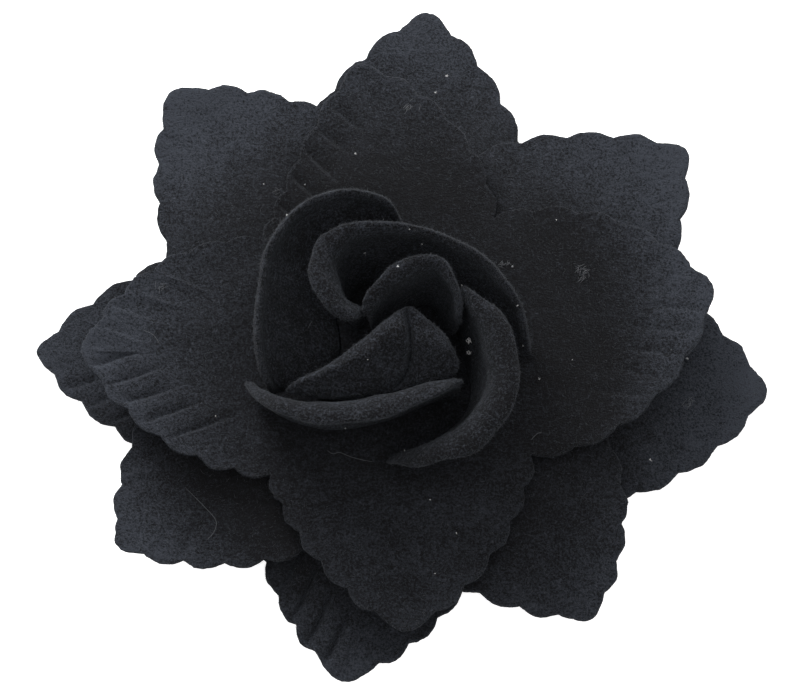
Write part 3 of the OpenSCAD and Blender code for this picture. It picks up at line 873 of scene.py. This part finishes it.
loop = np.array(bud_rim * 3)
once_round = (np.arange(bud_points) / bud_points + 1) * len(bud_rim) / (len(loop) - 1)
bud = in_scene("bud_felt", bud_mesh("bud_felt", *bud_grid(smooth_rows(loop, once_round))))
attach(bud, "root")
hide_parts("bud")
bud_fuzz = grown("bud_felt_fuzz", bud, fuzz, {
    "Density": 3.5, "Edge density": 30.0, "Seed": 29, "Fibre": fibre})
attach(bud_fuzz, "root")


# Lint and stray hairs that have settled on the felt: white specks, tufts of short fibres and
# a few long hairs. Each is placed by how far it lies to the right and up as the view shows
# it, in millimetres from the middle of the view, and is dropped onto the felt there.

lint_specks = [
    (11.1, 1.3, 0.42), (11.0, -0.4, 0.34), (-4.8, 14.6, 0.16), (0.1, 12.5, 0.18), (18.1, 6.7, 0.16),
    (19.0, 0.7, 0.15), (9.8, 9.8, 0.16), (1.9, 18.2, 0.11), (3.8, 16.0, 0.12), (21.4, -4.4, 0.12),
    (43.5, -1.3, 0.18), (38.0, -16.5, 0.16), (5.8, 38.6, 0.16), (7.5, 41.0, 0.18), (-16.5, 20.2, 0.15),
    (-20.0, 24.9, 0.11), (-13.8, 24.8, 0.11), (-6.2, 29.4, 0.15), (-7.8, -11.6, 0.11),
    (-4.4, -1.4, 0.10), (-27.2, -9.9, 0.13), (5.0, -22.5, 0.11), (8.9, -27.5, 0.12), (5.7, -33.5, 0.11),
    (17.3, 12.5, 0.14), (23.9, 19.5, 0.12), (26.3, -1.5, 0.09), (41.1, 0.0, 0.07), (1.2, -15.2, 0.09)]
speck_scale = 0.8
speck_fewest = 3
speck_more = 22
speck_half = 0.045
tufts = [
    (27.8, 11.6, 0.9, 1.3, 30), (2.0, 36.5, 0.9, 0.8, 18), (44.0, -7.8, 0.9, 0.9, 14),
    (15.8, 12.9, 1.7, 0.35, 22), (-18.4, 23.8, 0.9, 0.6, 6), (-35.2, 9.4, 1.1, 0.6, 12)]
long_hairs = [
    [(-31.8, -20.6), (-29.1, -23.3), (-27.2, -25.5), (-27.4, -27.2), (-28.5, -28.5)],
    [(-10.5, -15.1), (-9.6, -15.6), (-8.6, -15.4), (-7.1, -16.0), (-5.3, -16.5), (-3.6, -16.8)],
    [(-12.8, 4.3), (-13.1, 3.8), (-13.4, 3.2)],
    [(20.1, -13.5), (21.0, -12.6), (21.7, -12.4)],
    [(-38.0, 3.0), (-36.5, 2.2), (-35.6, 0.9)]]
longest_step = 0.8
hair_clear = 0.08
hair_half = 0.028

felt_points, felt_faces = [], []
for piece in (back_layer, middle_layer, front_layer, *rose, bud):
    start = len(felt_points)
    felt_points += [point.co / MM for point in piece.data.vertices]
    felt_faces += [[start + corner for corner in face.vertices] for face in piece.data.polygons]
felt_surface = BVHTree.FromPolygons(felt_points, felt_faces)
view_up = Vector((0, math.sin(view_angle), math.cos(view_angle)))


def dropped(right, up):
    """The place on the felt that the view shows there, and the felt's normal."""
    toward = Vector((right, 0, 0)) + view_up * up - away
    return felt_surface.ray_cast(view_aim + away, toward.normalized())[:2]


def strand(path, half):
    """A four-sided strand along a path, pointed at both ends: its points and its faces."""
    path = np.array(path)
    ahead = np.gradient(path, axis=0)
    side = np.cross(ahead, (0.1, 0.2, 1))
    side /= np.linalg.norm(side, axis=1, keepdims=True)
    over = np.cross(side, ahead)
    over /= np.linalg.norm(over, axis=1, keepdims=True)
    n = len(path)
    wide = half * np.minimum(1, 0.35 + 4 * np.minimum(np.arange(n), np.arange(n)[::-1]) / n)[:, None]
    rings = np.stack([path + side * wide, path + over * wide, path - side * wide, path - over * wide], 1)
    faces = [(4 * i + k, 4 * i + (k + 1) % 4, 4 * i + 4 + (k + 1) % 4, 4 * i + 4 + k)
             for i in range(n - 1) for k in range(4)]
    return rings.reshape(-1, 3), faces + [(3, 2, 1, 0), (4 * n - 4, 4 * n - 3, 4 * n - 2, 4 * n - 1)]


def strands_piece(name, strands, finish):
    """Makes one piece of many strands."""
    points, faces = [], []
    for strand_points, strand_faces in strands:
        faces += [[len(points) + corner for corner in face] for face in strand_faces]
        points += (strand_points * MM).tolist()
    mesh = bpy.data.meshes.new(name)
    mesh.from_pydata(points, [], faces)
    mesh.shade_smooth()
    mesh.materials.append(finish)
    piece = in_scene(name, mesh)
    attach(piece, "root")


def speck(draw, right, up, size):
    """The strands of a speck: short bowed ones in a ball that clings to the felt."""
    place, normal = dropped(right, up)
    strands = []
    for k in range(round(speck_fewest + speck_more * size)):
        way = Vector(draw.normal(size=3))
        way = (way - way.project(normal) * 0.7).normalized() * size * draw.uniform(0.6, 1.2)
        middle = place + normal * (0.5 * size + hair_clear) + Vector(draw.normal(size=3)) * size * 0.5
        bend = Vector(draw.normal(size=3)) * size * 0.4
        path = [middle + way * t + bend * (1 - t * t) for t in np.linspace(-1, 1, 5)]
        strands.append(strand(path, min(0.2 * size, speck_half)))
    return strands


def tuft(draw, right, up, wide, tall, count):
    """The strands of a tuft, without those that would span from a rim down to the layer below."""
    strands = []
    for k in range(count):
        x, y = draw.normal((right, up), (wide / 2, tall / 2))
        run = draw.normal((0.2, 0.25), (0.25, 0.2))
        path = []
        for t in np.linspace(-1, 1, 5):
            place, normal = dropped(x + run[0] * t, y + run[1] * t)
            path.append(place + normal * (hair_clear + 0.1 * (1 - t * t)))
        if max((b - a).length for a, b in zip(path, path[1:])) < longest_step:
            strands.append(strand(path, 0.8 * hair_half))
    return strands


def long_hair(draw, points):
    """One long hair that follows a smooth curve through its points."""
    path = []
    for right, up in smooth_rows(points, np.linspace(0, 1, 10 * len(points))):
        place, normal = dropped(right, up)
        path.append(place + normal * (hair_clear + 0.04 * draw.random()))
    return strand(path, hair_half)


draw = np.random.default_rng(41)
white_strands, dark_strands = [], []
for right, up, wide in lint_specks:
    white_strands += speck(draw, right, up, speck_scale * wide)
for right, up, wide, tall, count in tufts:
    dark_strands += tuft(draw, right, up, wide, tall, count)
for points in long_hairs:
    dark_strands.append(long_hair(draw, points))
strands_piece("lint_specks", white_strands, lint)
strands_piece("stray_hairs", dark_strands, hair)
